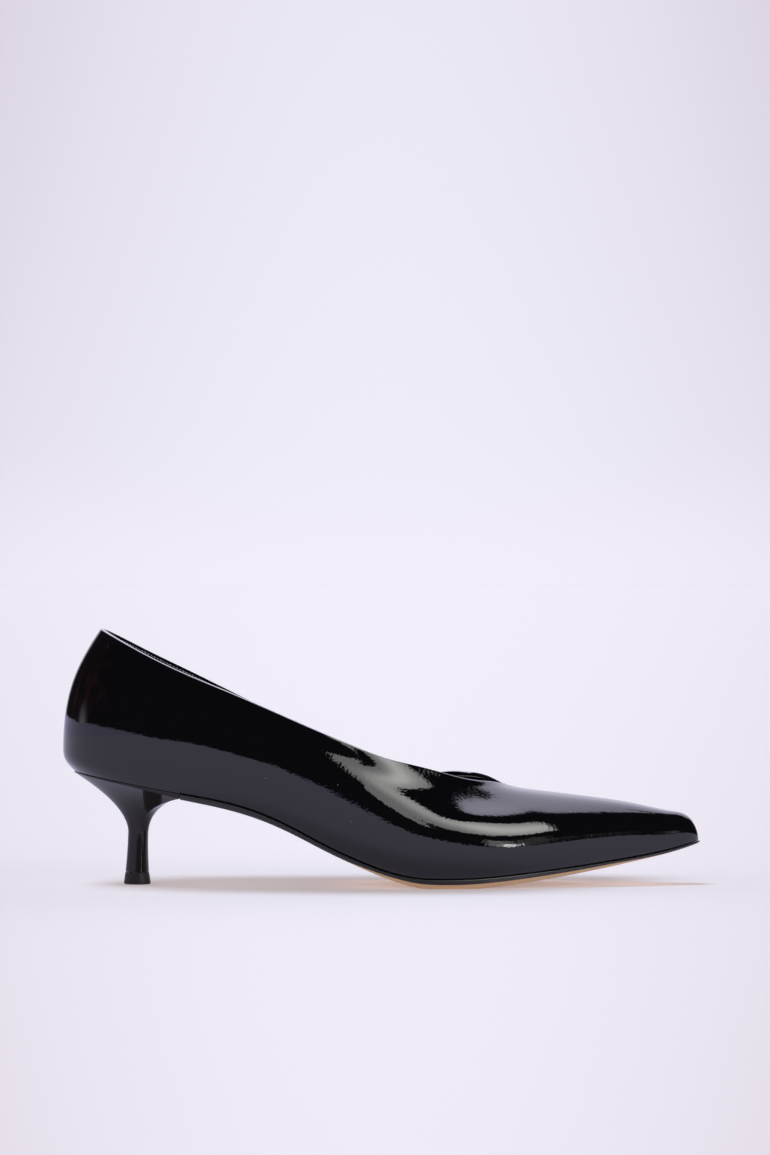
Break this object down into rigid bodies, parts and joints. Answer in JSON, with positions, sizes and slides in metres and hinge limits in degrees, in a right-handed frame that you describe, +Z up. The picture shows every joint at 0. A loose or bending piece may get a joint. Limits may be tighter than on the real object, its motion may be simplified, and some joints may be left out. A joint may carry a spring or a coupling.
{
  "type": "kitten heel shoe",
  "caption": "Pointed black patent pump for the right foot, with a V-cut throat, a low slim heel, a leather outsole with arch and toe spring, and an open hollow upper.",
  "frame": {"origin": "middle of the shoe's footprint on the floor", "axes": "+X from heel to toe, +Y towards the inner (medial) side of the foot, +Z up"},
  "size_m": [0.2658, 0.0764, 0.1073],
  "materials": {
    "patent_leather": "mirror gloss patent, black",
    "sock_lining": "matte black lining leather",
    "sole_leather": "natural tan bottom with black painted edge",
    "heel_lacquer": "gloss black lacquer",
    "lift_rubber": "matte black"
  },
  "bodies": {
    "root": {"upper": "patent_leather", "insole": "sock_lining", "outsole": "sole_leather", "heel": "heel_lacquer", "top_lift": "lift_rubber"}
  },
  "joints": []
}
